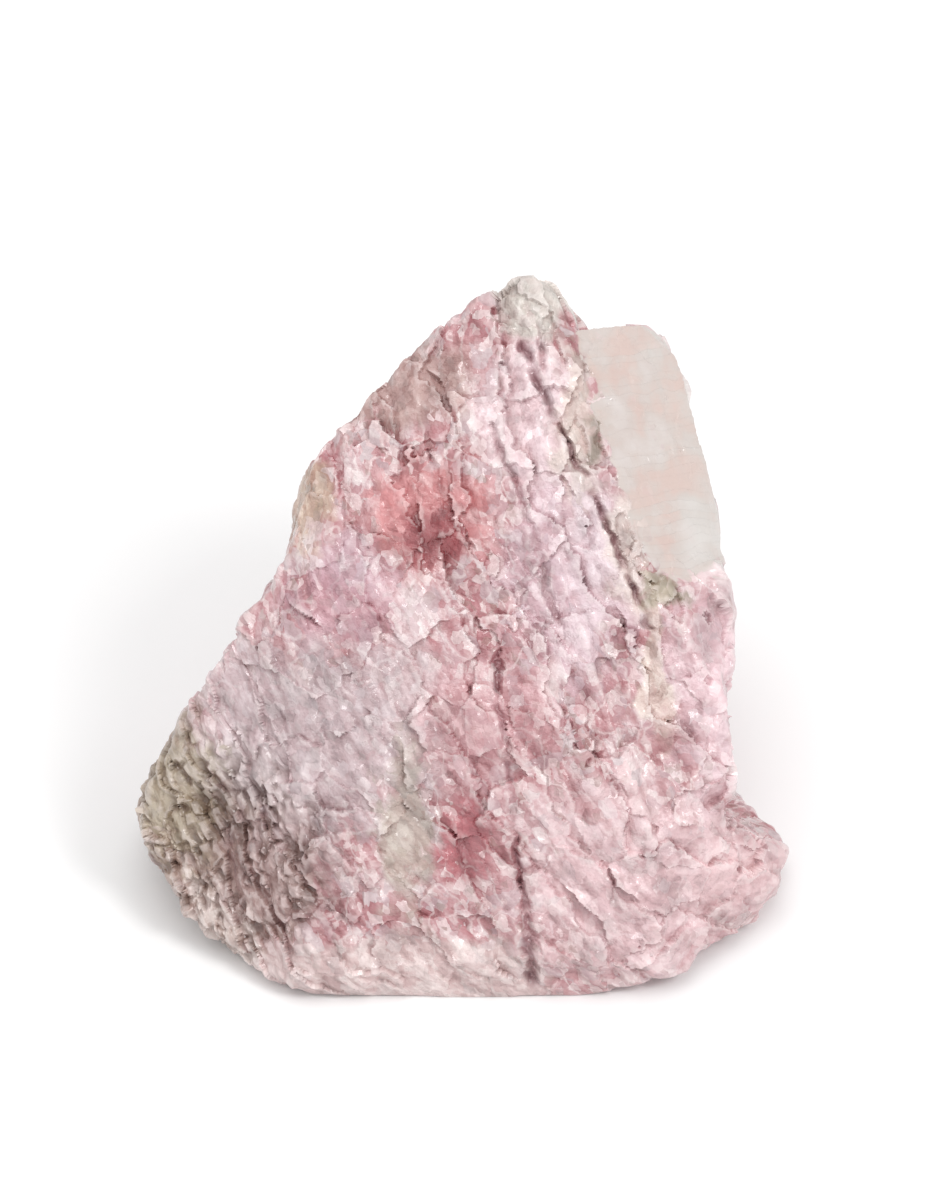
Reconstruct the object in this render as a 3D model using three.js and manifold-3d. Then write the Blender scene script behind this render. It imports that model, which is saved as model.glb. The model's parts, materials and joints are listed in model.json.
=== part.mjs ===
// A piece of rough rhodochrosite, about 45 mm across, as it lies on a table.
// It is one natural stone, so it is one solid: a block of banded rock, broken away
// plane by plane and chipped at its corners. Millimetres, +Z up. It stands on z = 0
// with its broad face towards -Y.
import * as THREE from "three";
import { mergeVertices } from "three/addons/utils/BufferGeometryUtils.js";
import Module from "manifold-3d";

const wasm = await Module();
wasm.setup();

// ---- Driving dimensions -------------------------------------------------

const FACE_RISE = 42; // degrees that the broad face's normal points above the horizon
const FACE_HEIGHT = 21; // height of the middle of the broad face above the table
const BLOCK = 100; // side of the block that the stone is broken from
const WASTE = 200; // side of the block that stands for what a break takes away

// Every break is laid out on the broad face:
//   bearing  degrees round the face, anticlockwise from the right: the way it faces
//   reach    millimetres from the middle of the face to where the break crosses it
//   lean     90 faces straight out of the broad face, 0 is a wall square to it, and
//            a wall with a negative lean runs in underneath
//   depth    millimetres below the broad face at which the reach is taken
const FRONT_BREAKS = [
  { name: "broad face", bearing: 0, reach: 0, lean: 90, depth: 0 },
  { name: "crown", bearing: 105, reach: 8, lean: 77, depth: 0 },
  { name: "foot", bearing: -95, reach: 7, lean: 76, depth: 0 },
  { name: "parting wall", bearing: 25, reach: 12, lean: 45, depth: 0 },
  { name: "right shoulder", bearing: -8, reach: 12.5, lean: 62, depth: 0 },
  { name: "top of the toe", bearing: -20, reach: 15, lean: 48, depth: 0 },
  { name: "drusy corner", bearing: 200, reach: 11.5, lean: 60, depth: 0 },
  { name: "left shoulder", bearing: 150, reach: 11, lean: 62, depth: 0 },
  { name: "cream foot", bearing: -88, reach: 17, lean: 48, depth: 0 },
];
const WALL_BREAKS = [
  { name: "crest top", bearing: 95, reach: 24.8, lean: -25, depth: 5 },
  { name: "crest left", bearing: 121, reach: 20, lean: -32, depth: 4 },
  { name: "upper left wall", bearing: 134, reach: 18, lean: -20, depth: 3 },
  { name: "left wall", bearing: 154, reach: 15.2, lean: 4, depth: 3 },
  { name: "left end", bearing: 188, reach: 24.4, lean: -8, depth: 6 },
  { name: "lower left corner", bearing: 222, reach: 26.2, lean: -18, depth: 7 },
  { name: "lower left edge", bearing: 249, reach: 25.2, lean: -20, depth: 6 },
  { name: "cream underside", bearing: 262, reach: 25, lean: -30, depth: 6 },
  { name: "front underside", bearing: 276, reach: 23.7, lean: -28, depth: 6 },
  { name: "right underside", bearing: 291, reach: 24.8, lean: -20, depth: 6 },
  { name: "toe corner", bearing: 315, reach: 26.9, lean: -12, depth: 8 },
  { name: "toe tip", bearing: 0, reach: 22.7, lean: 4, depth: 8 },
  { name: "upper right wall", bearing: 17, reach: 20.9, lean: -14, depth: 7 },
  { name: "right corner", bearing: 34, reach: 25.9, lean: -26, depth: 9 },
  { name: "right haunch", bearing: 14, reach: 17.8, lean: -28, depth: 14 },
  { name: "back wall", bearing: 84, reach: 22, lean: -36, depth: 14 },
  { name: "back underside", bearing: 92, reach: 7.5, lean: -72, depth: 32 },
];
// Where two breaks meet inside the stone, only what lies beyond both is lost.
const INSIDE_BREAKS = [
  {
    name: "beside the crest",
    first: { bearing: 27, reach: 16.6, lean: 6, depth: 5 },
    second: { bearing: 122, reach: 13.2, lean: -24, depth: 8 },
  },
  {
    name: "above the toe",
    first: { bearing: 0, reach: 17.8, lean: -8, depth: 5 },
    second: { bearing: 56, reach: 0.7, lean: 8, depth: 8 },
  },
  {
    name: "dip in the left wall",
    first: { bearing: 144, reach: 13.3, lean: -6, depth: 3 },
    second: { bearing: 170, reach: 12.8, lean: 0, depth: 3 },
  },
  {
    name: "inner ledge",
    first: { bearing: 27, reach: 4, lean: 25, depth: 0 },
    second: { bearing: 10, reach: 4, lean: 86, depth: 0.5 },
  },
  {
    name: "outer ledge",
    first: { bearing: 18, reach: 7.5, lean: 30, depth: 0 },
    second: { bearing: 0, reach: 7.5, lean: 84, depth: 1.2 },
  },
  {
    name: "step down the right wall",
    first: { bearing: 27, reach: 1, lean: 45, depth: 0 },
    second: { bearing: 11, reach: 19.1, lean: -27, depth: 8 },
  },
  {
    name: "step across the back",
    first: { bearing: 27, reach: -23, lean: 45, depth: 0 },
    second: { bearing: 84, reach: 20.4, lean: -37, depth: 14 },
  },
  {
    name: "upper step across the back",
    first: { bearing: 27, reach: -9, lean: 45, depth: 0 },
    second: { bearing: 88, reach: 19.4, lean: -41, depth: 14 },
  },
];
const CHIPS = 90; // corners knocked off, one after another
const CHIP_DEEPEST = 0.5;
const CHIP_SHALLOWEST = 0.2;
const CHIP_SEED = 11;

// ---- Breaking stone -----------------------------------------------------

const degrees = THREE.MathUtils.degToRad;

// The broad face's own frame: x to the right, y up the face, z straight out of it.
const rise = degrees(FACE_RISE);
const faceFrame = new THREE.Matrix4()
  .makeBasis(
    new THREE.Vector3(1, 0, 0),
    new THREE.Vector3(0, Math.sin(rise), Math.cos(rise)),
    new THREE.Vector3(0, -Math.cos(rise), Math.sin(rise)),
  )
  .setPosition(0, 0, FACE_HEIGHT);

function solidOf(geometry) {
  const bare = geometry.clone();
  bare.deleteAttribute("normal");
  bare.deleteAttribute("uv");
  const merged = mergeVertices(bare);
  return new wasm.Manifold(
    new wasm.Mesh({
      numProp: 3,
      vertProperties: merged.attributes.position.array,
      triVerts: new Uint32Array(merged.index.array),
    }),
  );
}

// All that lies beyond a plane through `point` that faces along `normal`.
function beyond(point, normal) {
  const waste = new THREE.BoxGeometry(WASTE, WASTE, WASTE);
  waste.translate(0, 0, WASTE / 2);
  waste.applyQuaternion(
    new THREE.Quaternion().setFromUnitVectors(new THREE.Vector3(0, 0, 1), normal),
  );
  waste.translate(...point);
  return solidOf(waste);
}

function wasteOf({ bearing, reach, lean, depth }) {
  const [b, l] = [degrees(bearing), degrees(lean)];
  const point = new THREE.Vector3(reach * Math.cos(b), reach * Math.sin(b), -depth);
  const normal = new THREE.Vector3(
    Math.cos(l) * Math.cos(b),
    Math.cos(l) * Math.sin(b),
    Math.sin(l),
  );
  return beyond(point.applyMatrix4(faceFrame), normal.transformDirection(faceFrame));
}

// A small repeatable random generator, so that the stone is the same every time.
function randomFrom(seed) {
  let state = seed;
  return () => {
    state = (state * 1664525 + 1013904223) % 4294967296;
    return state / 4294967296;
  };
}

// How far the solid reaches along a direction.
function support(solid, direction) {
  const { vertProperties, numProp } = solid.getMesh();
  let far = -Infinity;
  for (let i = 0; i < vertProperties.length; i += numProp) {
    const along =
      vertProperties[i] * direction.x +
      vertProperties[i + 1] * direction.y +
      vertProperties[i + 2] * direction.z;
    far = Math.max(far, along);
  }
  return far;
}

// Knocks off whatever corner stands out furthest, in one random direction after another.
function chipped(solid) {
  const random = randomFrom(CHIP_SEED);
  for (let i = 0; i < CHIPS; i++) {
    const height = 2 * random() - 1;
    const turn = 2 * Math.PI * random();
    const ring = Math.sqrt(1 - height * height);
    const way = new THREE.Vector3(ring * Math.cos(turn), ring * Math.sin(turn), height);
    const depth = THREE.MathUtils.lerp(CHIP_SHALLOWEST, CHIP_DEEPEST, random());
    const at = way.clone().multiplyScalar(support(solid, way) - depth);
    solid = solid.subtract(beyond(at, way));
  }
  return solid;
}

// ---- The stone ----------------------------------------------------------

function stoneSolid() {
  let stone = solidOf(new THREE.BoxGeometry(BLOCK, BLOCK, BLOCK));
  for (const wall of [...FRONT_BREAKS, ...WALL_BREAKS])
    stone = stone.subtract(wasteOf(wall));
  for (const { first, second } of INSIDE_BREAKS)
    stone = stone.subtract(wasteOf(first).intersect(wasteOf(second)));
  stone = chipped(stone);
  return stone.subtract(beyond(new THREE.Vector3(), new THREE.Vector3(0, 0, -1)));
}

function geometryOf(solid) {
  const { vertProperties, triVerts } = solid.getMesh();
  const geometry = new THREE.BufferGeometry();
  geometry.setAttribute("position", new THREE.BufferAttribute(vertProperties, 3));
  geometry.setIndex(new THREE.BufferAttribute(triVerts, 1));
  geometry.computeVertexNormals();
  return geometry;
}

const rhodochrosite = new THREE.MeshStandardMaterial({
  color: "#d2b0b1",
  roughness: 0.6,
  metalness: 0,
  flatShading: true,
});
const stone = new THREE.Mesh(geometryOf(stoneSolid()), rhodochrosite);
stone.name = "rhodochrosite_stone";

// The origin is under the middle of the stone, on the table.
stone.geometry.computeBoundingBox();
const middle = stone.geometry.boundingBox.getCenter(new THREE.Vector3());
stone.position.set(-middle.x, -middle.y, 0);

const specimen = new THREE.Group();
specimen.add(stone);

export default specimen;
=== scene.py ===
# %% [markdown]
# # A piece of rough rhodochrosite
#
# Rhodochrosite is manganese carbonate. In a vein it grows as bands of interlocked
# pink grains, and every grain splits along three flat cleavage planes. A hammer
# blow therefore leaves a surface that is neither smooth nor bumpy: it is made of
# thousands of small blocks and steps, with white, grey and ochre streaks where
# other minerals grew between the bands.
#
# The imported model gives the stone's true shape and size as a block of flat breaks.
# This lesson keeps that shape, breaks its surface into cleavage blocks with one
# Geometry Nodes modifier, and paints it with one procedural material.

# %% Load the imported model
import json
import math

import bpy
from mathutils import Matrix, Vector

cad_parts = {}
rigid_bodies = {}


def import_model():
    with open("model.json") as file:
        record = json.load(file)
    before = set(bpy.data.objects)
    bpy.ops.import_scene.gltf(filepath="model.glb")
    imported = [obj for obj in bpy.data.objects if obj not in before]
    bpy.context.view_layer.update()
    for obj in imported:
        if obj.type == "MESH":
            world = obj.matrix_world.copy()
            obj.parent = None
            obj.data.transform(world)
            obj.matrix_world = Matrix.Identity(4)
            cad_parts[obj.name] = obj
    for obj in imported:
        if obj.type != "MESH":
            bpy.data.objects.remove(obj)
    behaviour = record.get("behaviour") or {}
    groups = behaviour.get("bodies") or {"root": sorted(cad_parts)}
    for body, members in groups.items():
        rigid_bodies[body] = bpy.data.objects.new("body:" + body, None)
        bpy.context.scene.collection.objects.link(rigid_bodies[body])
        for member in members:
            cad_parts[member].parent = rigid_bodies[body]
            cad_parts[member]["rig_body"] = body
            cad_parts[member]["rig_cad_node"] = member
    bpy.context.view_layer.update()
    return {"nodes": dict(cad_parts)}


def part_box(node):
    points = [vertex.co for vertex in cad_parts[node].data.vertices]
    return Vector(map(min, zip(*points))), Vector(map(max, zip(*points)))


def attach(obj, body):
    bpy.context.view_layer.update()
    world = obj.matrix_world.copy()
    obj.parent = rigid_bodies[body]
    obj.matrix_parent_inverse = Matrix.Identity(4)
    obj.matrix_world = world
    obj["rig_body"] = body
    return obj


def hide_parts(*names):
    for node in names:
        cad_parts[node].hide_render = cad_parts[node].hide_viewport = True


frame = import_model()

NODE = "rhodochrosite_stone"
MM = 0.001
low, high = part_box(NODE)
size = high - low
print("stone in the packed model, mm:", [round(side / MM, 1) for side in size])

# %% [markdown]
# ## Where things are on the stone
#
# A mark on a natural stone has no part to be measured from, so everything here is
# laid out on the stone's broad front face: u runs to the right, v up the face and w
# straight out of it, in millimetres from the middle of the face. The face looks
# towards -Y and 42 degrees above the horizon, so one turn about X takes the stone's
# own axes to the face's.

# %% The broad face
FACE_RISE = math.radians(42)
FACE_TURN = math.radians(90) - FACE_RISE
FACE_BACK = 0.291  # its middle, as a share of the stone's depth from the front
FACE_UP = 0.559  # and as a share of the stone's height from the base
face_middle = Vector((0, low.y + FACE_BACK * size.y, FACE_UP * size.z))
print("middle of the broad face, mm:", [round(c / MM, 1) for c in face_middle])


# %% [markdown]
# ## One helper for every node
#
# Node trees get long, so one small function adds a node, sets its properties and
# fills its inputs. A value is written into the socket, and a node or a socket is
# linked to it. It serves geometry trees and shader trees alike.

# %% A helper that adds a node
def add(tree, kind, inputs=(), stops=(), **settings):
    """Adds a node with its settings. Inputs go by name or number; stops fill a colour ramp."""
    node = tree.nodes.new(kind)
    for name, value in settings.items():
        setattr(node, name, value)
    for socket, value in dict(inputs).items():
        if isinstance(value, bpy.types.Node):
            value = value.outputs[0]
        if isinstance(value, bpy.types.NodeSocket):
            tree.links.new(value, node.inputs[socket])
        else:
            node.inputs[socket].default_value = value
    if stops:
        elements = node.color_ramp.elements
        while len(elements) < len(stops):
            elements.new(1)
        for element, (place, colour) in zip(elements, stops):
            element.position = place
            element.color = colour
    return node


# %% [markdown]
# ## The blank
#
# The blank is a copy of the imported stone. Its loose triangles are merged first. A
# voxel remesh then gives it an even skin, fine enough to hold a facet a millimetre
# across, and a smoothing modifier takes the knife edge off the breaks, as handling
# does on a real stone. Subdividing the flat breaks would do too, but it leaves long
# thin triangles, and blocks on those come out ragged.

# %% Copy the stone and merge its triangles
bpy.ops.object.select_all(action="DESELECT")
frame["nodes"][NODE].select_set(True)
bpy.context.view_layer.objects.active = frame["nodes"][NODE]
bpy.ops.object.duplicate()
stone = bpy.context.active_object
stone.name = "rhodochrosite"
stone.parent = None
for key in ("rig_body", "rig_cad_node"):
    del stone[key]

MERGE = 0.01 * MM
bpy.ops.object.mode_set(mode="EDIT")
bpy.ops.mesh.select_all(action="SELECT")
bpy.ops.mesh.remove_doubles(threshold=MERGE)
bpy.ops.object.mode_set(mode="OBJECT")
print("merged copy:", len(stone.data.vertices), "corners")

# %% Give it an even skin
SKIN = 0.17 * MM
skin = stone.modifiers.new("skin", "REMESH")
skin.mode = "VOXEL"
skin.voxel_size = SKIN
bpy.ops.object.modifier_apply(modifier=skin.name)

EASE_ROUNDS = 8
ease = stone.modifiers.new("ease the edges", "SMOOTH")
ease.factor = 0.5
ease.iterations = EASE_ROUNDS
bpy.ops.object.modifier_apply(modifier=ease.name)
print("blank:", len(stone.data.polygons), "faces")

# %% [markdown]
# ## Which way the bands run
#
# The vein grew in bands, and a grain is thinner across its band than along it. Every
# pattern that should follow the bands is therefore laid on a place that is drawn out
# across them, which squeezes the pattern by as much.
#
# Each recipe from here on is a function of the place alone. The geometry tree uses
# it to shape the stone and the shader tree to tint it, so both find the same grains.

# %% Across the bands
BAND_NORMAL = Vector((0.63, 0.32, 0.71)).normalized()
GRAIN_SQUEEZE = 0.55  # a grain is 1.55 times as long along the bands as across them


def across_and_drawn(tree, place, amount):
    """How far a place lies across the bands, and the place drawn out by that distance."""
    across = add(
        tree, "ShaderNodeVectorMath", {0: place, 1: BAND_NORMAL}, operation="DOT_PRODUCT"
    ).outputs["Value"]
    pulled = add(
        tree,
        "ShaderNodeVectorMath",
        {0: BAND_NORMAL * amount, "Scale": across},
        operation="SCALE",
    )
    drawn = add(tree, "ShaderNodeVectorMath", {0: pulled, 1: place}, operation="ADD")
    return across, drawn


print("the bands face", [round(c, 2) for c in BAND_NORMAL], "on the broad face")


# %% [markdown]
# ## Nothing is straight
#
# No border in a stone runs straight or round. A noise moves each place a little
# before a pattern is looked up there, so its borders wander. A long wavelength bends
# a border, and a short one frays it.

# %% A place that strays
def stray(tree, place, wave, distance, detail=3):
    """The place, moved up to about that distance by a noise of that wavelength."""
    noise = add(
        tree, "ShaderNodeTexNoise", {"Vector": place, "Scale": 1 / wave, "Detail": detail}
    )
    way = add(
        tree,
        "ShaderNodeVectorMath",
        {0: noise.outputs["Color"], 1: (0.5, 0.5, 0.5)},
        operation="SUBTRACT",
    )
    return add(
        tree,
        "ShaderNodeVectorMath",
        {0: way, 1: (2 * distance,) * 3, 2: place},
        operation="MULTIPLY_ADD",
    )


# %% [markdown]
# ## Grains
#
# A Voronoi texture splits space into cells, as a vein is split into grains. With the
# Chebychev distance, which is the largest of the three distances along the axes, a
# cell's levels are cubes and not balls, so a surface sunk by that distance breaks
# into blocks. A first, larger set of cells turns the axes to a new direction in each
# region, so that the blocks of one crystal lie parallel and its neighbour's don't.
#
# Three sizes of grain shape the stone. A fourth, half a millimetre across as the
# sugary grains of the vein are, is too small for the mesh and goes to the shader.

# %% Sizes of grain, in millimetres
REGION = {"across": 5, "wave": 3, "wander": 1.2}
GRAINS = {
    "large": {"across": 4.4, "sunk": 1.1, "warp": 0.35},
    "middling": {"across": 2.1, "sunk": 0.45, "warp": 0.15},
    "fine": {"across": 1.0, "sunk": 0.14, "warp": 0.06},
}
SUGAR = {"sugar": {"across": 0.55, "warp": 0.03}}


def grain_cells(tree, drawn, grains):
    """The Voronoi cells of each size of grain."""
    regions = add(
        tree,
        "ShaderNodeTexVoronoi",
        {
            "Vector": stray(tree, drawn, REGION["wave"], REGION["wander"]),
            "Scale": 1 / REGION["across"],
        },
    )
    turn = add(
        tree,
        "ShaderNodeVectorMath",
        {0: regions.outputs["Color"], "Scale": 2 * math.pi},
        operation="SCALE",
    )
    cells = {}
    for name, grain in grains.items():
        lattice = add(
            tree,
            "ShaderNodeVectorRotate",
            {
                "Vector": stray(tree, drawn, 2 * grain["across"], grain["warp"], 1),
                "Rotation": turn,
            },
            rotation_type="EULER_XYZ",
        )
        cells[name] = add(
            tree,
            "ShaderNodeTexVoronoi",
            {"Vector": lattice, "Scale": 1 / grain["across"]},
            distance="CHEBYCHEV",
        )
    return cells


print("grains, mm:", {name: grain["across"] for name, grain in (GRAINS | SUGAR).items()})

# %% [markdown]
# ## Ledges
#
# Where one band broke off its neighbour, a low ledge is left. The distance across
# the bands is counted off in band widths: the whole number tells which band a place
# is in, and the fraction how far across it. A white noise gives each band its luck.

# %% Bands as numbers
BAND = 2.8
BAND_BEND = {"wave": 5, "distance": 5}


def band_parts(tree, place, across):
    """Which band a place is in, as a random number, and how far across it, from 0 to 1."""
    noise = add(
        tree,
        "ShaderNodeTexNoise",
        {"Vector": place, "Scale": 1 / BAND_BEND["wave"], "Detail": 4},
    )
    bent = add(
        tree,
        "ShaderNodeMath",
        {0: noise, 1: BAND_BEND["distance"], 2: across},
        operation="MULTIPLY_ADD",
    )
    bands = add(tree, "ShaderNodeMath", {0: bent, 1: BAND}, operation="DIVIDE")
    number = add(tree, "ShaderNodeMath", {0: bands}, operation="FLOOR")
    luck = add(tree, "ShaderNodeTexWhiteNoise", {"W": number}, noise_dimensions="1D")
    return luck, add(tree, "ShaderNodeMath", {0: bands}, operation="FRACT")


print("about", round(size.x / MM / BAND), "bands across the stone")


# %% [markdown]
# ## Where a patch reaches
#
# A stain or a vug fills a rough ball of the stone and shows wherever that ball meets
# the surface. An ellipsoid in the face's own axes gives the ball, and the strayed
# place gives it a ragged edge.

# %% How far out in a patch a place lies
def patch_reach(tree, place, centre, radii):
    """How far out in an ellipsoid a place lies: 0 at its centre, 1 on its surface."""
    away = add(tree, "ShaderNodeVectorMath", {0: place, 1: centre}, operation="SUBTRACT")
    share = add(tree, "ShaderNodeVectorMath", {0: away, 1: radii}, operation="DIVIDE")
    return add(tree, "ShaderNodeVectorMath", {0: share}, operation="LENGTH").outputs["Value"]


# %% [markdown]
# ## Breaking the surface
#
# The surface could be sculpted, but a stone has more grains than a hand would carve.
# A geometry tree moves every point of the blank along its normal by a height, which
# is worked out from the place. The tree starts with that place, in millimetres on
# the broad face, and keeps a dictionary of marks that the material reads later.

# %% Start the geometry tree
relief = bpy.data.node_groups.new("broken rhodochrosite", "GeometryNodeTree")
for in_out in ("INPUT", "OUTPUT"):
    relief.interface.new_socket("Geometry", in_out=in_out, socket_type="NodeSocketGeometry")
blank = add(relief, "NodeGroupInput")
position = add(relief, "GeometryNodeInputPosition")
normal = add(relief, "GeometryNodeInputNormal")
centred = add(
    relief, "ShaderNodeVectorMath", {0: position, 1: face_middle}, operation="SUBTRACT"
)
turned = add(
    relief,
    "ShaderNodeVectorRotate",
    {"Vector": centred, "Angle": FACE_TURN},
    rotation_type="X_AXIS",
    invert=True,
)
layout = add(
    relief, "ShaderNodeVectorMath", {0: turned, "Scale": 1 / MM}, operation="SCALE"
)
across, drawn = across_and_drawn(relief, layout, GRAIN_SQUEEZE)
cells = grain_cells(relief, drawn, GRAINS)
marks = {"layout": layout}
print("the geometry tree has", len(relief.nodes), "nodes so far")

# %% [markdown]
# ## Three zones
#
# Three parts of the stone aren't solid rhodochrosite. The lower left corner is
# drusy, which means that it is covered with small free crystals and the gaps between
# them. A paler seam runs along the foot, and the crest is a knob of ochre carbonate.

# %% Mark the zones
ZONES = {
    "drusy": {"centre": (-17, -13.5, -8), "radii": (9, 9, 14)},
    "foot": {"centre": (-5, -22.5, -6), "radii": (12, 4.5, 8)},
    "crest": {"centre": (4.6, 24.5, -6), "radii": (3.6, 3.6, 6)},
}
ZONE_EDGE = {"wave": 2.5, "distance": 2.5}
ZONE_FADE = {"none": 1.3, "full": 0.6}  # how far out a zone ends, and is still whole
strayed = stray(relief, layout, **ZONE_EDGE)
for name, zone in ZONES.items():
    marks[name] = add(
        relief,
        "ShaderNodeMapRange",
        {
            "Value": patch_reach(relief, strayed, zone["centre"], zone["radii"]),
            "From Min": ZONE_FADE["none"],
            "From Max": ZONE_FADE["full"],
        },
        interpolation_type="SMOOTHSTEP",
    )
print("zones:", ", ".join(ZONES))

# %% [markdown]
# ## The parting face
#
# Beside the crest the stone parted along one big flat plane, and that face is smooth
# and beige where all the rest is grainy and pink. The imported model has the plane
# already, so it only has to be found: a point is on it when its distance along the
# plane's normal is right. The face ends in a rough lip, a millimetre or two before
# the crack on its left, and frays out at its foot.

# %% The plane of the parting face
PARTING_BEARING = math.radians(25)
PARTING_LEAN = math.radians(45)
PARTING_REACH = 12
OFF_PLANE = {"none": 0.35, "all": 0.8}  # millimetres that still count as on it, and as off it
parting_normal = Vector((
    math.cos(PARTING_LEAN) * math.cos(PARTING_BEARING),
    math.cos(PARTING_LEAN) * math.sin(PARTING_BEARING),
    math.sin(PARTING_LEAN),
))
along = add(
    relief, "ShaderNodeVectorMath", {0: layout, 1: parting_normal}, operation="DOT_PRODUCT"
)
off_plane = add(
    relief,
    "ShaderNodeMath",
    {0: along.outputs["Value"], 1: PARTING_REACH * math.cos(PARTING_LEAN)},
    operation="SUBTRACT",
)
off_plane = add(relief, "ShaderNodeMath", {0: off_plane}, operation="ABSOLUTE")
on_plane = add(
    relief,
    "ShaderNodeMapRange",
    {"Value": off_plane, "From Min": OFF_PLANE["all"], "From Max": OFF_PLANE["none"]},
    interpolation_type="SMOOTHSTEP",
)
print("the parting face looks along", [round(c, 2) for c in parting_normal])

# %% The left edge and the foot of the parting face
EDGE_BEND = {"wave": 4, "distance": 1.6}
EDGE_FRAY = {"wave": 1.2, "distance": 0.8}
FOOT_FRAY = {"wave": 2.6, "distance": 2.2}
LEFT_EDGE_LEAN = math.radians(18)
edge_place = stray(relief, stray(relief, layout, **EDGE_BEND), **EDGE_FRAY)
foot_place = stray(relief, edge_place, **FOOT_FRAY)
PARTING_EDGES = {
    "left": {
        "place": edge_place,
        "way": Vector((math.cos(LEFT_EDGE_LEAN), math.sin(LEFT_EDGE_LEAN), 0)),
        "start": 13.8,
        "blur": 0.4,
    },
    "foot": {"place": foot_place, "way": Vector((-0.28, 1, 0)), "start": 1, "blur": 1.1},
}
parting = on_plane
for edge in PARTING_EDGES.values():
    beyond = add(
        relief, "ShaderNodeVectorMath", {0: edge["place"], 1: edge["way"]}, operation="DOT_PRODUCT"
    )
    inside = add(
        relief,
        "ShaderNodeMapRange",
        {
            "Value": beyond.outputs["Value"],
            "From Min": edge["start"] - edge["blur"],
            "From Max": edge["start"] + edge["blur"],
        },
        interpolation_type="SMOOTHSTEP",
    )
    parting = add(relief, "ShaderNodeMath", {0: parting, 1: inside}, operation="MULTIPLY")
marks["parting"] = add(
    relief,
    "ShaderNodeMath",
    {0: parting, 1: marks["crest"]},
    operation="SUBTRACT",
    use_clamp=True,
)
print("edges of the parting face:", ", ".join(PARTING_EDGES))

# %% [markdown]
# ## Cracks
#
# A few cracks run down the face, mostly along the bands. Each is laid out as a
# straight line on the face, and the strayed place makes it wander. A second noise
# closes it here and there, because a crack that is open all the way looks drawn.

# %% Lines of the cracks
CRACKS = {
    "long crack": {"from": (2.2, 0), "to": (4.2, -20), "half": 0.22, "share": 0.6},
    "foot of the long crack": {"from": (3.9, -17), "to": (4.9, -24), "half": 0.4, "share": 0.9},
    "upper edge of the parting": {"from": (3.8, 21), "to": (9.4, 10.2), "half": 0.28, "share": 0.9},
    "lower edge of the parting": {"from": (9.4, 10.2), "to": (12.2, 2), "half": 0.28, "share": 1},
    "outer band": {"from": (2, 15.5), "to": (6.5, 2.5), "half": 0.22, "share": 0.5},
    "inner band": {"from": (-2.6, 13.8), "to": (2.5, 4), "half": 0.2, "share": 0.4},
    "crest": {"from": (4.2, 23.6), "to": (5.6, 19.5), "half": 0.3, "share": 0.6},
}
CRACK_BEND = {"wave": 6, "distance": 1}
CRACK_FRAY = {"wave": 1.3, "distance": 0.6}
CRACK_SIDE = {"none": 1.7, "full": 0.2}  # in halves of the crack's width
wavy = stray(relief, stray(relief, layout, **CRACK_BEND), **CRACK_FRAY)
flat_place = add(
    relief, "ShaderNodeVectorMath", {0: wavy, 1: (1, 1, 0)}, operation="MULTIPLY"
)


def crack_mask(line):
    """Rises from 0 beside the line to its share in the middle of it."""
    start = Vector((*line["from"], 0))
    run = Vector((*line["to"], 0)) - start
    away = add(
        relief, "ShaderNodeVectorMath", {0: flat_place, 1: start}, operation="SUBTRACT"
    )
    ahead = add(
        relief,
        "ShaderNodeVectorMath",
        {0: away, 1: run / run.length_squared},
        operation="DOT_PRODUCT",
    )
    share = add(
        relief,
        "ShaderNodeMath",
        {0: ahead.outputs["Value"], 1: 1},
        operation="MULTIPLY",
        use_clamp=True,
    )
    nearest = add(
        relief, "ShaderNodeVectorMath", {0: run, "Scale": share}, operation="SCALE"
    )
    gap = add(
        relief, "ShaderNodeVectorMath", {0: away, 1: nearest}, operation="DISTANCE"
    )
    return add(
        relief,
        "ShaderNodeMapRange",
        {
            "Value": gap.outputs["Value"],
            "From Min": CRACK_SIDE["none"] * line["half"],
            "From Max": CRACK_SIDE["full"] * line["half"],
            "To Max": line["share"],
        },
        interpolation_type="SMOOTHSTEP",
    )


crack = 0
for line in CRACKS.values():
    crack = add(relief, "ShaderNodeMath", {0: crack, 1: crack_mask(line)}, operation="MAXIMUM")
print(len(CRACKS), "cracks")

# %% Close the cracks here and there, and leave them off the back
FRONT_DEPTH = 13  # millimetres below the broad face that still count as the front
FRONT_BLUR = 3
depth = add(relief, "ShaderNodeSeparateXYZ", {0: layout}).outputs["Z"]
in_front = add(
    relief,
    "ShaderNodeMapRange",
    {"Value": depth, "From Min": -FRONT_DEPTH, "From Max": -FRONT_DEPTH + FRONT_BLUR},
)
OPEN_WAVE = 1.8
STILL_OPEN = 0.15  # the share that is left where a crack closes
OPENING = {"shut": 0.3, "open": 0.6}  # on the noise's own scale from 0 to 1
patchy = add(
    relief, "ShaderNodeTexNoise", {"Vector": layout, "Scale": 1 / OPEN_WAVE, "Detail": 2}
)
open_here = add(
    relief,
    "ShaderNodeMapRange",
    {
        "Value": patchy,
        "From Min": OPENING["shut"],
        "From Max": OPENING["open"],
        "To Min": STILL_OPEN,
    },
)
crack = add(relief, "ShaderNodeMath", {0: crack, 1: in_front}, operation="MULTIPLY")
marks["crack"] = add(relief, "ShaderNodeMath", {0: crack, 1: open_here}, operation="MULTIPLY")
print("cracks reach", FRONT_DEPTH, "mm below the broad face")

# %% [markdown]
# ## Gaps in the druse
#
# Crystals that grew into a cavity don't touch all round. The fine grains give the
# crystals, the outer part of each cell is the gap between two of them, and a noise
# fills some of the gaps in.

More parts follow.
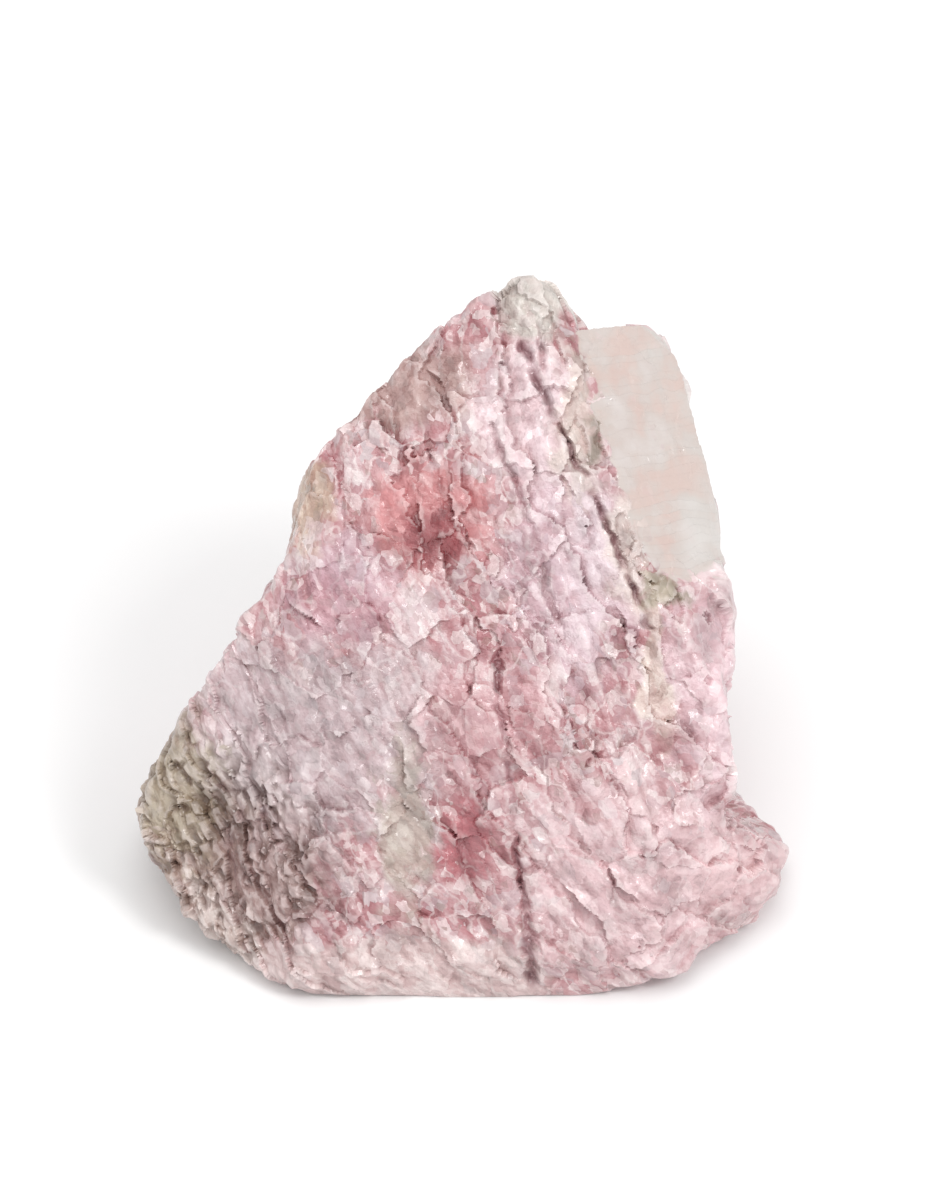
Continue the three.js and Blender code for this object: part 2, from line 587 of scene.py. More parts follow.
# %% Mark the gaps between the crystals
GAP_WAVE = 1.5
GAP = {"starts": 0.3, "full": 0.55}  # distances from the middle of a grain
FILLING = {"full": 0.35, "none": 0.6}  # on the noise's own scale
gap_shape = add(
    relief,
    "ShaderNodeMapRange",
    {
        "Value": cells["fine"].outputs["Distance"],
        "From Min": GAP["starts"],
        "From Max": GAP["full"],
    },
    interpolation_type="SMOOTHSTEP",
)
filling = add(
    relief, "ShaderNodeTexNoise", {"Vector": layout, "Scale": 1 / GAP_WAVE, "Detail": 1}
)
unfilled = add(
    relief,
    "ShaderNodeMapRange",
    {"Value": filling, "From Min": FILLING["full"], "From Max": FILLING["none"]},
)
pit = add(relief, "ShaderNodeMath", {0: gap_shape, 1: unfilled}, operation="MULTIPLY")
marks["pit"] = add(relief, "ShaderNodeMath", {0: pit, 1: marks["drusy"]}, operation="MULTIPLY")
print("marks so far:", ", ".join(marks))

# %% [markdown]
# ## Swells, ledges and blocks add up to a height
#
# The height is a sum, from large to small: a slow swell that keeps the breaks from
# looking sawn, the ledges, and the blocks of the three sizes of grain. A block is
# highest in the middle of its cell and sinks towards the border. The parting face is
# left almost calm, apart from terraces less than a tenth of a millimetre high, where
# one cleavage sheet ends above another. Cracks and gaps are taken off last.

# %% Swell and ledges
SWELL = {"wave": 9, "height": 2.6}
LEDGE = 0.7
swell = add(
    relief, "ShaderNodeTexNoise", {"Vector": layout, "Scale": 1 / SWELL["wave"], "Detail": 2}
)
height = add(
    relief,
    "ShaderNodeMath",
    {0: swell, 1: SWELL["height"], 2: -SWELL["height"] / 2},
    operation="MULTIPLY_ADD",
)
band_luck, band_share = band_parts(relief, layout, across)
from_middle = add(relief, "ShaderNodeMath", {0: band_share, 1: 0.5}, operation="SUBTRACT")
step = add(relief, "ShaderNodeMath", {0: band_luck, 1: LEDGE}, operation="MULTIPLY")
height = add(
    relief, "ShaderNodeMath", {0: from_middle, 1: step, 2: height}, operation="MULTIPLY_ADD"
)
print("swell", SWELL["height"] / 2, "mm and ledges", LEDGE, "mm at most")

# %% Blocks, the calm parting face, cracks and gaps
BLOCK_LEVEL = 0.45  # the middling distance in a cell, where a block leaves the height as it is
CALM = 0.12  # the share of the height that the parting face keeps
TERRACE = 0.08
CUTS = {"crack": 0.7, "pit": 0.32}
for name, grain in GRAINS.items():
    block = add(
        relief,
        "ShaderNodeMath",
        {
            0: cells[name].outputs["Distance"],
            1: -grain["sunk"],
            2: BLOCK_LEVEL * grain["sunk"],
        },
        operation="MULTIPLY_ADD",
    )
    height = add(relief, "ShaderNodeMath", {0: height, 1: block}, operation="ADD")
calm = add(
    relief, "ShaderNodeMapRange", {"Value": marks["parting"], "To Min": 1, "To Max": CALM}
)
height = add(relief, "ShaderNodeMath", {0: height, 1: calm}, operation="MULTIPLY")
terrace_luck = add(relief, "ShaderNodeSeparateXYZ", {0: cells["large"].outputs["Color"]})
terrace = add(
    relief, "ShaderNodeMath", {0: terrace_luck, 1: marks["parting"]}, operation="MULTIPLY"
)
height = add(
    relief, "ShaderNodeMath", {0: terrace, 1: -TERRACE, 2: height}, operation="MULTIPLY_ADD"
)
for name, cut in CUTS.items():
    height = add(
        relief, "ShaderNodeMath", {0: marks[name], 1: -cut, 2: height}, operation="MULTIPLY_ADD"
    )
print("cuts, mm:", CUTS)

# %% [markdown]
# ## The face that the stone rests on
#
# The base has to stay flat, or the stone would rock. The height fades out over the
# last millimetre and a half above the ground, and nothing may sink below it.
#
# The marks are stored on the points before they move, so that the material finds
# each grain where the mesh has it. Named attributes stay with the mesh through the
# modifiers that follow.

# %% Fade the height out at the base
BASE_FADE = (0.1 * MM, 1.5 * MM)
above_ground = add(relief, "ShaderNodeSeparateXYZ", {0: position}).outputs["Z"]
clear = add(
    relief,
    "ShaderNodeMapRange",
    {"Value": above_ground, "From Min": BASE_FADE[0], "From Max": BASE_FADE[1]},
)
height = add(relief, "ShaderNodeMath", {0: height, 1: clear}, operation="MULTIPLY")
in_metres = add(relief, "ShaderNodeMath", {0: height, 1: MM}, operation="MULTIPLY")
offset = add(
    relief, "ShaderNodeVectorMath", {0: normal, "Scale": in_metres}, operation="SCALE"
)
print("full height from", round(BASE_FADE[1] / MM, 1), "mm above the ground")

# %% Store the marks and move the points
geometry = blank
for name, value in marks.items():
    geometry = add(
        relief,
        "GeometryNodeStoreNamedAttribute",
        {"Geometry": geometry, "Name": name, "Value": value},
        data_type="FLOAT_VECTOR" if name == "layout" else "FLOAT",
        domain="POINT",
    )
geometry = add(relief, "GeometryNodeSetPosition", {"Geometry": geometry, "Offset": offset})
not_below = add(
    relief, "ShaderNodeVectorMath", {0: position, 1: (-1, -1, 0)}, operation="MAXIMUM"
)
geometry = add(
    relief, "GeometryNodeSetPosition", {"Geometry": geometry, "Position": not_below}
)
print("the points carry", ", ".join(marks))

# %% [markdown]
# ## Hollows and edges
#
# The hollows of a broken stone lie in shade, and the material paints that shade in,
# while its sharp edges look frosted, because they scatter the light. A blur of the
# positions gives the even surface, and a point's distance below it tells how hollow
# the place is. Six rounds of blur find the grains' own edges, and sixty find the
# valleys between blocks.

# %% Measure the hollows
HOLLOWS = {"hollow": 6, "deep": 60}
for name, rounds in HOLLOWS.items():
    even = add(
        relief,
        "GeometryNodeBlurAttribute",
        {"Value": position, "Iterations": rounds},
        data_type="FLOAT_VECTOR",
    )
    rise = add(relief, "ShaderNodeVectorMath", {0: even, 1: position}, operation="SUBTRACT")
    below = add(relief, "ShaderNodeVectorMath", {0: rise, 1: normal}, operation="DOT_PRODUCT")
    in_mm = add(
        relief, "ShaderNodeMath", {0: below.outputs["Value"], 1: 1 / MM}, operation="MULTIPLY"
    )
    geometry = add(
        relief,
        "GeometryNodeStoreNamedAttribute",
        {"Geometry": geometry, "Name": name, "Value": in_mm},
        data_type="FLOAT",
        domain="POINT",
    )
add(relief, "NodeGroupOutput", {0: geometry})
print("the finished geometry tree has", len(relief.nodes), "nodes")

# %% Break the surface
broken = stone.modifiers.new("broken surface", "NODES")
broken.node_group = relief
bpy.ops.object.modifier_apply(modifier=broken.name)
deepest = max(point.value for point in stone.data.attributes["deep"].data)
print("the deepest place lies", round(deepest, 2), "mm below its surroundings")

# %% [markdown]
# ## Thin the mesh
#
# The even skin has far more faces than the shape needs. Decimate takes them away
# where the surface is flat and keeps them on the edges. Faces that meet at more than
# 24 degrees stay sharp, as cleavage edges are.

# %% Thin and shade
TRIANGLES = 190_000
SHARP = math.radians(24)
bpy.ops.object.mode_set(mode="EDIT")
bpy.ops.mesh.select_all(action="SELECT")
bpy.ops.mesh.quads_convert_to_tris()
bpy.ops.object.mode_set(mode="OBJECT")
thin = stone.modifiers.new("thin", "DECIMATE")
thin.ratio = TRIANGLES / len(stone.data.polygons)
bpy.ops.object.modifier_apply(modifier=thin.name)
bpy.ops.object.shade_smooth_by_angle(angle=SHARP)
print("stone:", len(stone.data.polygons), "triangles")


# %% [markdown]
# ## Paint
#
# Blender works in linear light and colours are picked in sRGB, so one function turns
# the one into the other. The stone is painted like a hand tinted print: a base
# colour first, then tint over tint, stains and painted shade alike, each as strong
# as a mask says.

# %% Colours and tints
def linear(colour):
    """An sRGB hex colour as the linear RGBA that Blender works in."""
    parts = [int(colour[i : i + 2], 16) / 255 for i in (1, 3, 5)]
    return [p / 12.92 if p <= 0.04045 else ((p + 0.055) / 1.055) ** 2.4 for p in parts] + [1]


def lay_tint(tree, colour, amount, start, end, share, tint, blend="MIX"):
    """Lays a tint over the colour: none where the amount is start, the share where it is end."""
    mask = add(
        tree,
        "ShaderNodeMapRange",
        {"Value": amount, "From Min": start, "From Max": end, "To Max": share},
        interpolation_type="SMOOTHSTEP",
    )
    return add(
        tree,
        "ShaderNodeMix",
        {"Factor": mask, 6: colour, 7: tint},
        data_type="RGBA",
        blend_type=blend,
    ).outputs[2]


print("mid pink in linear light:", [round(c, 3) for c in linear("#be9396")[:3]])

# %% [markdown]
# ## The material's own places and grains
#
# The material is broken rhodochrosite, a soft carbonate, clear in thin flakes, that
# scatters light a little way in. Its break is glassy in each grain, and the grains
# lie every way, so the eye sees soft pink with a scatter of small glints.
#
# Its tree starts from the marks that the mesh carries, and finds bands and grains by
# the same recipes as the shape did.

# %% Start the material
mineral = bpy.data.materials.new("rhodochrosite, broken")
mineral.use_nodes = True
paint = mineral.node_tree
paint.nodes.clear()
place = add(paint, "ShaderNodeAttribute", attribute_name="layout").outputs["Vector"]
seen = {
    name: add(paint, "ShaderNodeAttribute", attribute_name=name).outputs["Fac"]
    for name in ("drusy", "foot", "crest", "parting", "crack", "pit", "hollow", "deep")
}
across, drawn = across_and_drawn(paint, place, GRAIN_SQUEEZE)
cells = grain_cells(paint, drawn, GRAINS | SUGAR)
lucks = {
    name: add(paint, "ShaderNodeSeparateXYZ", {0: cell.outputs["Color"]})
    for name, cell in cells.items()
}
band_luck, band_share = band_parts(paint, place, across)
print("the material reads", ", ".join(["layout", *seen]))

# %% [markdown]
# ## From deep pink to white
#
# More calcium makes rhodochrosite paler, and it varies from band to band and from
# grain to grain. The tone is a weighted sum of everything that varies, around one
# half. Slow clouds and streaks along the bands weigh most, because they are what the
# eye sees from a step away, and the single grains only break them up.

# %% The tone of each place
CLOUD_WAVE = 4.5
STREAK_WAVE = 3.6
STREAK_SQUEEZE = 5
SPECKLE_WAVE = 0.6
streak_place = across_and_drawn(paint, place, STREAK_SQUEEZE)[1]
speckle = add(
    paint,
    "ShaderNodeTexNoise",
    {"Vector": drawn, "Scale": 1 / SPECKLE_WAVE, "Detail": 3, "Roughness": 0.62},
)
cloud = add(
    paint, "ShaderNodeTexNoise", {"Vector": place, "Scale": 1 / CLOUD_WAVE, "Detail": 2}
)
streaks = add(
    paint, "ShaderNodeTexNoise", {"Vector": streak_place, "Scale": 1 / STREAK_WAVE, "Detail": 4}
)
TONE_PARTS = (
    (lucks["large"].outputs["X"], 0.14),
    (lucks["middling"].outputs["X"], 0.17),
    (lucks["fine"].outputs["X"], 0.15),
    (lucks["sugar"].outputs["X"], 0.07),
    (band_luck.outputs["Value"], 0.14),
    (speckle.outputs["Fac"], 0.55),
    (cloud.outputs["Fac"], 0.9),
    (streaks.outputs["Fac"], 1.1),
)
tone = 0.5
for part, weight in TONE_PARTS:
    around_zero = add(paint, "ShaderNodeMath", {0: part, 1: 0.5}, operation="SUBTRACT")
    tone = add(
        paint, "ShaderNodeMath", {0: around_zero, 1: weight, 2: tone}, operation="MULTIPLY_ADD"
    )
grain_colour = add(
    paint,
    "ShaderNodeValToRGB",
    {0: tone},
    stops=[
        (0.12, linear("#884f53")),
        (0.34, linear("#ad777b")),
        (0.52, linear("#be9396")),
        (0.68, linear("#cdb0b3")),
        (0.88, linear("#e0d3d2")),
    ],
)
colour = grain_colour.outputs["Color"]
print(len(TONE_PARTS), "parts make the tone")

# %% [markdown]
# ## Grains of other minerals, and veinlets
#
# Among the pink sit single grains of white carbonate and grey quartz, and specks of
# rust. Each kind takes the cells whose luck falls in a narrow range. White veinlets
# run where a slow noise crosses one half, which draws thin closed lines.

# %% Flecks
FLECKS = {
    "white grains": ("fine", "Y", 0.72, 0.8, 0.45, "#e8dcdb"),
    "small white grains": ("sugar", "Y", 0.8, 0.88, 0.35, "#efe5e3"),
    "grey quartz": ("fine", "Z", 0.82, 0.86, 0.5, "#ac9ca1"),
    "deep pink grains": ("fine", "Y", 0.2, 0.12, 0.35, "#ae666e"),
    "rusty specks": ("sugar", "Z", 0.93, 0.96, 0.5, "#86635b"),
}
for grain_size, draw, start, end, share, tint in FLECKS.values():
    luck = lucks[grain_size].outputs[draw]
    colour = lay_tint(paint, colour, luck, start, end, share, linear(tint))
print("flecks:", ", ".join(FLECKS))

# %% White veinlets
VEIN_WAVE = 6
VEIN_HALF = 0.016  # half the width of a veinlet, on the noise's own scale from 0 to 1
VEIN_SHARE = 0.35
veins = add(
    paint, "ShaderNodeTexNoise", {"Vector": drawn, "Scale": 1 / VEIN_WAVE, "Detail": 3}
)
off_vein = add(paint, "ShaderNodeMath", {0: veins, 1: 0.5}, operation="SUBTRACT")
off_vein = add(paint, "ShaderNodeMath", {0: off_vein}, operation="ABSOLUTE")
colour = lay_tint(
    paint, colour, off_vein, VEIN_HALF, VEIN_HALF / 4, VEIN_SHARE, linear("#eadfdd")
)
print("veinlets about", VEIN_WAVE, "mm apart")

# %% [markdown]
# ## The zones' own colours
#
# A flat tint would look like paint on the grains. Each tint is therefore scaled by
# the tone, so that the grains still show, and its border follows whole grains,
# because their luck is added to the mask.

# %% A tint that keeps the grains
TONES = {"deep": 0.2, "pale": 0.8}
BRIGHTNESS = {"deep": 0.68, "pale": 1.24}
fleck = add(
    paint,
    "ShaderNodeMath",
    {0: lucks["fine"].outputs["Y"], 1: lucks["middling"].outputs["Y"]},
    operation="ADD",
)
value_of_grain = add(
    paint,
    "ShaderNodeMapRange",
    {
        "Value": tone,
        "From Min": TONES["deep"],
        "From Max": TONES["pale"],
        "To Min": BRIGHTNESS["deep"],
        "To Max": BRIGHTNESS["pale"],
    },
)


def toned(tint):
    """The tint, lighter on pale grains and darker on deep ones."""
    return add(
        paint,
        "ShaderNodeVectorMath",
        {0: linear(tint)[:3], "Scale": value_of_grain},
        operation="SCALE",
    )


print("a tint is", BRIGHTNESS["deep"], "to", BRIGHTNESS["pale"], "times as bright on the grains")

# %% The druse, the foot and the crest
DRUSE_STOPS = [
    (0.28, linear("#6e554b")),
    (0.42, linear("#92796e")),
    (0.54, linear("#ab968d")),
    (0.7, linear("#cfc0b9")),
]
DRUSE_RAGGED = -0.35
DRUSE_FADE = {"none": 0, "full": 0.5}
DRUSE_SHARE = 0.9
ZONE_TINTS = {"foot": (0.6, "#d8c7c3"), "crest": (0.8, "#c8c3ba")}
ZONE_TINT_FADE = {"none": 0.2, "full": 0.9}
druse_colour = add(paint, "ShaderNodeValToRGB", {0: tone}, stops=DRUSE_STOPS)
druse_edge = add(
    paint,
    "ShaderNodeMath",
    {0: fleck, 1: DRUSE_RAGGED, 2: seen["drusy"]},
    operation="MULTIPLY_ADD",
)
colour = lay_tint(
    paint,
    colour,
    druse_edge,
    DRUSE_FADE["none"],
    DRUSE_FADE["full"],
    DRUSE_SHARE,
    druse_colour.outputs["Color"],
)
for zone, (share, tint) in ZONE_TINTS.items():
    colour = lay_tint(
        paint,
        colour,
        seen[zone],
        ZONE_TINT_FADE["none"],
        ZONE_TINT_FADE["full"],
        share,
        toned(tint),
    )
print("the druse takes", len(DRUSE_STOPS), "colours")

# %% [markdown]
# ## Patches
#
# Other minerals stain the pink: a salmon patch and a red spot where there is iron,
# greys and mauves with quartz, and ochre and olive where the manganese has
# weathered. The first patches lie on the broad face, and the last ones on the sides
# and the back, where they carry the same colours round. The brow is brown, and it is
# darker than its stain alone: that extra dark is painted shade on the upper left facet.

# %% Where the patches are
# name: centre, radii, share, colour
PATCHES = {
    "grey granular area": ((-10, -5, -4), (9, 7.5, 9), 0.7, "#c0b1b4"),
    "mauve bands": ((7, 6, -2), (4.5, 8, 5), 0.55, "#ccb3bc"),
    "pale bands": ((4, 16.5, -2), (2.8, 5, 4), 0.7, "#ddc7cb"),
    "pale column": ((-3.6, -1, -1), (1.5, 7, 4), 0.45, "#d3c2c4"),
    "lilac block": ((-7.5, 6.5, -2), (3, 2, 5), 0.45, "#cbb4c0"),
    "pink block": ((-8, 3.5, -2), (3.8, 2.6, 6), 0.55, "#bd8d99"),
    "salmon patch": ((-2.4, 9.8, 0), (4.2, 4.0, 5), 0.8, "#bc7172"),
    "salmon heart": ((-1.9, 8.3, 0), (2.1, 2, 3), 0.9, "#8e3e44"),
    "pink middle": ((1.5, -4.5, -1), (5, 4, 4), 0.55, "#b98388"),
    "red spot": ((0.2, -12.3, -1), (2.0, 2.6, 4), 0.9, "#ad5a62"),
    # the brow is brown, and darker still as painted shade on the upper left facet
    "brown brow with painted shade": ((-5, 18.5, -3), (5.4, 3, 6), 0.8, "#a07f78"),
    "ochre edge": ((-10.8, 10.5, -3), (1.7, 3.4, 5), 0.6, "#b7a184"),
    "olive streak": ((-4, -11, -2), (1.5, 6.5, 4), 0.7, "#b0a497"),
    "pale lower right": ((11, -15, -4), (8, 7, 9), 0.65, "#dabdc0"),
    "white band": ((8.6, 6.5, -1), (1.5, 7, 3), 0.45, "#dccdd2"),
    "pale right edge": ((16.5, -2, -6), (4, 8, 7), 0.65, "#dec2c8"),
    "toe": ((19.5, -15, -8), (5, 4, 7), 0.6, "#d1b0b2"),
    "olive spot": ((13.3, 4.2, -2), (1.3, 1.0, 2.5), 0.8, "#7f775c"),
    "upper cream lip": ((7.9, 16.3, -1), (1.9, 6, 4), 0.7, "#cfc1b7"),
    "lower cream lip": ((11.3, 8, -2), (1.6, 4.5, 4), 0.7, "#cdbfb6"),
    "olive dash": ((8.9, 15.2, -1), (0.6, 1.8, 3), 0.7, "#8f8271"),
    "grey outer rim": ((16.3, 15, -9), (4, 11, 6), 0.7, "#c6c3bf"),
    "cream seam": ((13, 0, -3), (0.9, 6, 3.5), 0.5, "#cdc0af"),
    "olive druse": ((-19.5, -9, -6), (3, 5.5, 8), 0.6, "#938768"),
    "brown druse": ((-12.5, -14.5, -4), (5, 4.5, 7), 0.55, "#8a6465"),
    "rose right side": ((18, -2, -20), (5, 5, 6), 0.7, "#b06c6f"),
    "white back": ((8, 8, -26), (6, 4, 6), 0.6, "#d8cbc8"),
    "rose back": ((-7, 6, -28), (6, 5, 6), 0.7, "#b0676b"),
    "brown back foot": ((2, 2, -35), (9, 4, 5), 0.7, "#857162"),
    "grey left side": ((-18, 3, -20), (5, 6, 7), 0.6, "#b5a9ab"),
}
PATCH_EDGE = {"wave": 2.5, "distance": 2.2}
PATCH_FADE = {"none": 1.6, "full": 0.9}
PATCH_RAGGED = 0.3
strayed = stray(paint, place, **PATCH_EDGE)
for centre, radii, share, tint in PATCHES.values():
    reach = patch_reach(paint, strayed, centre, radii)
    ragged = add(
        paint, "ShaderNodeMath", {0: fleck, 1: PATCH_RAGGED, 2: reach}, operation="MULTIPLY_ADD"
    )
    colour = lay_tint(
        paint, colour, ragged, PATCH_FADE["none"], PATCH_FADE["full"], share, toned(tint)
    )
print(len(PATCHES), "patches")

# %% [markdown]
# ## Frosted edges and painted shade
#
# The next tints follow the shape. Edges get a thin frosting, and hollows are
# multiplied with a dull red: that red is painted shade, which falls in the hollows
# and in the valleys between blocks. They come before the parting face, which is
# fresh and clean, so that its beige covers them.

# %% Frost on edges, and painted shade in hollows
EDGE_FROST_AND_PAINTED_SHADE = (
    ("hollow", -0.02, -0.08, 0.22, "#f0e4e2", "MIX"),
    # the two multiplies below are painted shade, darker in the hollows and in the valleys between
    # blocks
    ("hollow", 0.01, 0.08, 0.15, "#b0686c", "MULTIPLY"),
    ("deep", 0.05, 0.45, 0.25, "#b47a78", "MULTIPLY"),
)
for mark, start, end, share, tint, blend in EDGE_FROST_AND_PAINTED_SHADE:
    colour = lay_tint(paint, colour, seen[mark], start, end, share, linear(tint), blend)
print(len(EDGE_FROST_AND_PAINTED_SHADE), "frost on edges and painted shade in hollows")

# %% [markdown]
# ## The parting face's colour
#
# The parting face is one cleavage plane, beige with a peach blush, and it is made of
# thin plates that end one above the other. Their edges show as faint lines across
# it. The plates are counted like the bands, up the face, and each has its own luck.
# A greyer rim runs over its top corner and down its outer edge.

# %% Plates
PLATE = 0.55  # millimetres from the edge of one plate to the next
PLATE_WAY = (0.06, 1, 0.2)
SWAY = {"wave": 4, "distance": 1.6}
sway = add(
    paint, "ShaderNodeTexNoise", {"Vector": place, "Scale": 1 / SWAY["wave"], "Detail": 2}
)
up_the_face = add(
    paint, "ShaderNodeVectorMath", {0: place, 1: PLATE_WAY}, operation="DOT_PRODUCT"
)
plate_place = add(
    paint,
    "ShaderNodeMath",
    {0: sway, 1: SWAY["distance"], 2: up_the_face.outputs["Value"]},
    operation="MULTIPLY_ADD",
)
plate_count = add(paint, "ShaderNodeMath", {0: plate_place, 1: PLATE}, operation="DIVIDE")
plate_number = add(paint, "ShaderNodeMath", {0: plate_count}, operation="FLOOR")
plate_luck = add(paint, "ShaderNodeTexWhiteNoise", {"W": plate_number}, noise_dimensions="1D")
print("plates", PLATE, "mm apart")

# %% Beige with a peach blush
BLUSH_WAVE = 3.3
PLATE_SHARE = 0.08  # how much the luck of a plate moves the blush
blush = add(
    paint, "ShaderNodeTexNoise", {"Vector": place, "Scale": 1 / BLUSH_WAVE, "Detail": 4}
)
parting_tone = add(
    paint,
    "ShaderNodeMath",
    {0: plate_luck.outputs["Value"], 1: PLATE_SHARE, 2: blush},
    operation="MULTIPLY_ADD",
)
beige = add(
    paint,
    "ShaderNodeValToRGB",
    {0: parting_tone},
    stops=[(0.42, linear("#c6b1a9")), (0.54, linear("#c2b7b1")), (0.68, linear("#c9c1bd"))],
)
print("the blush varies over about", BLUSH_WAVE, "mm")

# %% A grey rim, and the beige over the pink
GREY_RIM = (((19, 10, -5), (4, 10, 8)), ((14.8, 22.5, -6), (2.6, 3, 6)))  # centres and radii
GREY_FADE = {"none": 1.2, "full": 0.7}
GREY_SHARE = 0.45
PARTING_RAGGED = -0.4
PARTING_FADE = {"none": 0.05, "full": 0.4}
PARTING_SHARE = 0.95
beige = beige.outputs["Color"]
for centre, radii in GREY_RIM:
    reach = patch_reach(paint, strayed, centre, radii)
    beige = lay_tint(
        paint, beige, reach, GREY_FADE["none"], GREY_FADE["full"], GREY_SHARE, linear("#c4c3bf")
    )
parting_edge = add(
    paint,
    "ShaderNodeMath",
    {0: fleck, 1: PARTING_RAGGED, 2: seen["parting"]},
    operation="MULTIPLY_ADD",
)
colour = lay_tint(
    paint,
    colour,
    parting_edge,
    PARTING_FADE["none"],
    PARTING_FADE["full"],
    PARTING_SHARE,
    beige,
)
print("beige covers the pink by", PARTING_SHARE)

# %% [markdown]
# ## Filled cracks and gaps
#
# Cracks and the gaps of the druse go on last, because dark manganese oxide fills
# them whatever they cut through.

# %% Fill the cracks and the gaps
FILLS = {"crack": (0.7, "#7a4a52"), "pit": (0.45, "#5f4a40")}
for mark, (share, tint) in FILLS.items():
    colour = lay_tint(paint, colour, seen[mark], 0, 1, share, linear(tint))
print("filled:", ", ".join(FILLS))

# %% [markdown]
# ## Every grain catches the light its own way
#
# Each grain breaks along its own flat, so neighbours catch the light differently
# even where the mesh is smooth. The normal is leaned a fixed way in each cell. A
# fine grit and the edges of the plates are left to a bump, because they are finer
# than the mesh.
#
# A bump looks its height up three times at every point, so its tree is kept short.

# %% Lean the normal by grain
SMOOTH_PARTING = 0.2
roughly = add(
    paint,
    "ShaderNodeMapRange",
    {"Value": seen["parting"], "To Min": 1, "To Max": SMOOTH_PARTING},
)


def lean_by_grain(leans):
    """The surface's normal, leaned a fixed random way in each grain."""
    leaned = add(paint, "ShaderNodeNewGeometry").outputs["Normal"]
    for name, lean in leans.items():
        way = add(
            paint,
            "ShaderNodeVectorMath",
            {0: cells[name].outputs["Color"], 1: (0.5, 0.5, 0.5)},
            operation="SUBTRACT",
        )
        amount = add(paint, "ShaderNodeMath", {0: roughly, 1: 2 * lean}, operation="MULTIPLY")
        tip = add(paint, "ShaderNodeVectorMath", {0: way, "Scale": amount}, operation="SCALE")
        leaned = add(paint, "ShaderNodeVectorMath", {0: leaned, 1: tip}, operation="ADD")
    return add(paint, "ShaderNodeVectorMath", {0: leaned}, operation="NORMALIZE")


# %% Bump of the grit and the plates
GRIT_WAVE = 0.25
GRIT = 0.16  # heights, in millimetres
PLATE_STEP = 0.14
BUMP_STRENGTH = 0.65
LEAN = {"fine": 0.2, "sugar": 0.15}  # as shares of the normal's own length
grit = add(
    paint,
    "ShaderNodeTexNoise",
    {"Vector": place, "Scale": 1 / GRIT_WAVE, "Detail": 2, "Roughness": 0.6},
)
grit = add(paint, "ShaderNodeMath", {0: grit, 1: GRIT}, operation="MULTIPLY")
plates = add(
    paint, "ShaderNodeMath", {0: plate_luck.outputs["Value"], 1: PLATE_STEP}, operation="MULTIPLY"
)
micro = add(
    paint,
    "ShaderNodeMix",
    {"Factor": seen["parting"], "A": grit, "B": plates},
    data_type="FLOAT",
)
bump = add(
    paint,
    "ShaderNodeBump",
    {
        "Height": micro,
        "Strength": BUMP_STRENGTH,
        "Distance": MM,
        "Normal": lean_by_grain(LEAN),
    },
)
print("finest bump:", GRIT_WAVE, "mm across")

# %% [markdown]
# ## The shader
#
# Rhodochrosite bends light more than glass does: its index is 1.6 to 1.8, as the
# crystal lies, and the lower one is used. Its glints come from the clear flat top
# of a grain, and its pink from light that went in and came out again. The coat
# stands for the clear flat: it leans more than the colour below it, so that single
# grains flash, and its smoothness is that of a fresh cleavage. Subsurface scattering
# would spread the light inside by about one grain. That hardly shows on a stone this
# size and takes a third longer to render, so the plain base colour stands for it.

# %% Put the shader together
INDEX = 1.6
ROUGHNESS = {"least": 0.25, "most": 0.6}
CLEAR_LEAN = {"fine": 0.35, "sugar": 0.35}
roughness = add(
    paint,
    "ShaderNodeMapRange",
    {
        "Value": lucks["fine"].outputs["Z"],
        "To Min": ROUGHNESS["least"],
        "To Max": ROUGHNESS["most"],
    },
)
broken_mineral = add(
    paint,
    "ShaderNodeBsdfPrincipled",
    {
        "Base Color": colour,
        "Roughness": roughness,
        "IOR": INDEX,
        "Normal": bump,
        "Coat Weight": 0.4,
        "Coat Roughness": 0.12,
        "Coat IOR": INDEX,
        "Coat Normal": lean_by_grain(CLEAR_LEAN),
    },
)
add(paint, "ShaderNodeOutputMaterial", {"Surface": broken_mineral})
stone.data.materials.clear()
stone.data.materials.append(mineral)
print("the material has", len(paint.nodes), "nodes")

# %% [markdown]
# ## The stage
#
# Specimens are shown on white with hardly a shadow. The floor is a large sheet of
# matt white paper, and an even white surround lights the stone from all sides.

# %% Paper floor and white surround
FLOOR_SIDE = 4
PAPER_ROUGHNESS = 0.9
TENT_STRENGTH = 0.8
bpy.ops.object.select_all(action="DESELECT")
bpy.ops.mesh.primitive_plane_add(size=FLOOR_SIDE, location=(0, 0, 0))
floor = bpy.context.active_object
floor.name = "floor"
# paper: white and matt, so it takes a soft shadow and gives no reflection
paper = bpy.data.materials.new("matt white paper")
paper.use_nodes = True
paper_shader = paper.node_tree.nodes["Principled BSDF"]
paper_shader.inputs["Base Color"].default_value = linear("#f0f0f0")
paper_shader.inputs["Roughness"].default_value = PAPER_ROUGHNESS
floor.data.materials.append(paper)

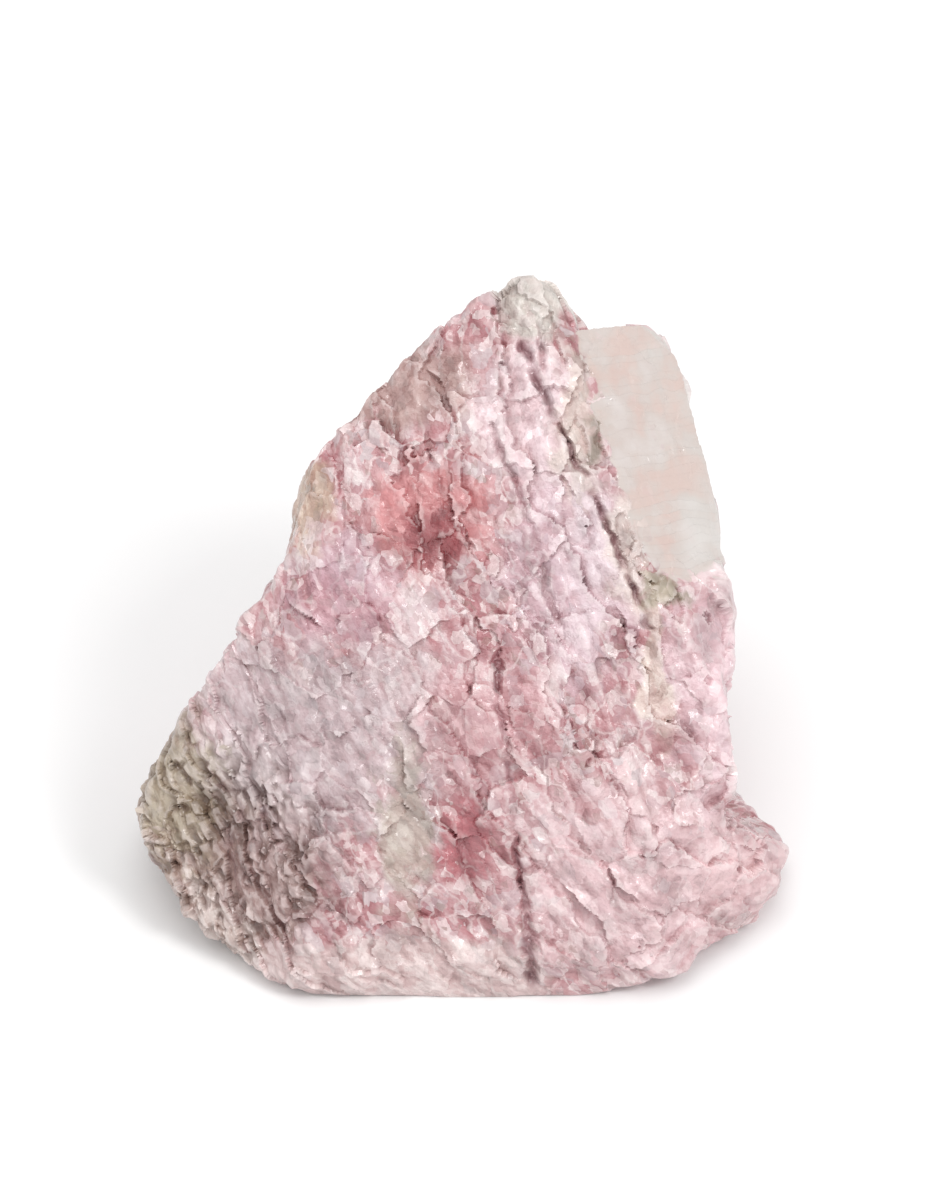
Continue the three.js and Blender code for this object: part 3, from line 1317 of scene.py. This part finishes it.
world = bpy.data.worlds.new("light tent")
world.use_nodes = True
surround = world.node_tree.nodes["Background"]
surround.inputs["Color"].default_value = (1, 1, 1, 1)
surround.inputs["Strength"].default_value = TENT_STRENGTH
bpy.context.scene.world = world
bpy.context.scene.view_settings.view_transform = "Standard"
print("floor", FLOOR_SIDE, "m across")

# %% [markdown]
# ## Lamps
#
# Two square lamps give the stone its shape: a small key lamp high on the right, for
# edges and glints, and a large soft one above on the left, which keeps the shadows
# open.

# %% Two lamps
LAMPS = {
    "key": {"place": (0.32, -0.25, 0.5), "side": 0.18, "watts": 1.3},
    "top": {"place": (-0.1, -0.1, 0.6), "side": 0.5, "watts": 1.35},
}
middle = (low + high) / 2
for name, lamp in LAMPS.items():
    light = bpy.data.lights.new(name, "AREA")
    light.size = lamp["side"]
    light.energy = lamp["watts"]
    holder = bpy.data.objects.new(name, light)
    bpy.context.scene.collection.objects.link(holder)
    holder.location = lamp["place"]
    holder.rotation_mode = "QUATERNION"
    holder.rotation_quaternion = (middle - holder.location).to_track_quat("-Z", "Y")
    print(name, "lamp", round((middle - holder.location).length, 2), "m from the stone")

# %% [markdown]
# ## Camera
#
# The camera looks straight at the broad face, so it stands 42 degrees above the
# horizon. A long lens keeps the near edge of the stone from swelling.

# %% Aim the camera
LENS = 180
DISTANCE = 0.41
camera_data = bpy.data.cameras.new("camera")
camera_data.lens = LENS
camera = bpy.data.objects.new("camera", camera_data)
bpy.context.scene.collection.objects.link(camera)
bpy.context.scene.camera = camera
back = Vector((0, -math.cos(FACE_RISE), math.sin(FACE_RISE)))
camera.rotation_mode = "QUATERNION"
camera.location = middle + back * DISTANCE
camera.rotation_quaternion = (-back).to_track_quat("-Z", "Y")
print("camera at, mm:", [round(c / MM) for c in camera.location])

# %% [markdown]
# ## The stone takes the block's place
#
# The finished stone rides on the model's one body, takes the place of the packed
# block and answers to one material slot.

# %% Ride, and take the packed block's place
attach(stone, "root")
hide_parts(NODE)
